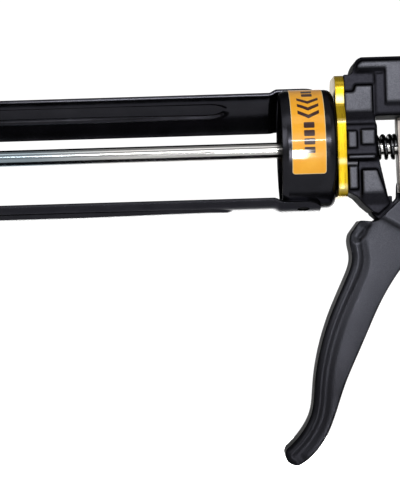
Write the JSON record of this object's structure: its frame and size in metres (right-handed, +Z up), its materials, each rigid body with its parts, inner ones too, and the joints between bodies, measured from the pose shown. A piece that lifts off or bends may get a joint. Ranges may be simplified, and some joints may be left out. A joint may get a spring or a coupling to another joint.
{
  "type": "caulking gun",
  "caption": "Caulking gun: rotating open cradle with retainer cup and slotted front plate, round push rod, cast frame with handle, trigger, gripping plates and release lever.",
  "frame": {"origin": "on the push rod's axis, at the face inside the retainer cup that the cartridge sits on", "axes": "+X along the rod towards the rear of the gun, +Z up, away from the trigger and handle, -Y the gun's left side"},
  "size_m": [0.356, 0.059, 0.2015],
  "materials": {
    "black_steel": "gloss black baked enamel on pressed steel",
    "cast_black": "fine sand-textured black powder coat on an aluminium casting",
    "trigger_black": "satin black powder coat on an aluminium casting",
    "gold_anodised": "satin gold-yellow anodised",
    "label_film": "gloss orange-gold printed film",
    "bright_rod": "bright zinc-plated round bar",
    "zinc_steel": "bright zinc plate",
    "rivet_steel": "blackened steel",
    "dark_steel": "black oxide",
    "spring_steel": "hardened, bare, brownish grey",
    "spring_wire": "polished spring wire",
    "bronze": "sintered bronze",
    "dark_nylon": "moulded nylon"
  },
  "bodies": {
    "frame": {"body_casting": "cast_black", "face_plate": "gold_anodised", "plate_screws": "dark_steel", "friction_washer": "dark_nylon", "retaining_nut": "zinc_steel", "front_bushing": "bronze", "rear_bushing": "bronze", "pivot_bolt": "dark_steel", "pivot_nut": "dark_steel", "lever_pin": "dark_steel", "drive_spring": "spring_wire", "release_spring": "spring_wire"},
    "cradle": {"cradle_cup": "black_steel", "upper_rail": "black_steel", "lower_rail": "black_steel", "cup_rivets": "rivet_steel", "front_plate": "black_steel", "front_rivets": "rivet_steel", "cup_label": "label_film"},
    "trigger": {"trigger": "trigger_black", "push_pin": "zinc_steel"},
    "drive": {"drive_plate": "spring_steel", "grip_plate": "spring_steel"},
    "release": {"release_lever": "zinc_steel"},
    "piston": {"piston_plate": "zinc_steel", "piston_backing": "zinc_steel"},
    "rod": {"push_rod": "bright_rod", "piston_nut": "dark_steel", "piston_collar": "zinc_steel"}
  },
  "joints": [
    {"name": "cradle_turn", "type": "hinge", "parent": "frame", "child": "cradle", "pos_m": [0, 0, 0], "axis": [1, 0, 0], "continuous": true},
    {"name": "trigger_squeeze", "type": "hinge", "parent": "frame", "child": "trigger", "pos_m": [0.042, 0, -0.033], "axis": [0, -1, 0], "range_deg": [0, 26], "stiffness_Nm_per_rad": 0.35, "springref_deg": -20.05},
    {"name": "drive_slide", "type": "slide", "parent": "frame", "child": "drive", "axis": [-1, 0, 0], "range_m": [0, 0.0062], "deforming": ["drive_spring"]},
    {"name": "release_press", "type": "hinge", "parent": "frame", "child": "release", "pos_m": [0.0985, 0, -0.016], "axis": [0, 1, 0], "range_deg": [0, 8], "stiffness_Nm_per_rad": 0.4, "springref_deg": -11.46, "deforming": ["release_spring"]},
    {"name": "rod_slide", "type": "slide", "parent": "frame", "child": "piston", "axis": [1, 0, 0], "range_m": [0, 0.193]},
    {"name": "rod_turn", "type": "hinge", "parent": "piston", "child": "rod", "pos_m": [-0.2, 0, 0], "axis": [1, 0, 0], "continuous": true}
  ],
  "couplings": [
    {"joint": "drive_slide", "follows": "trigger_squeeze", "m_per_rad": 0.0135}
  ]
}
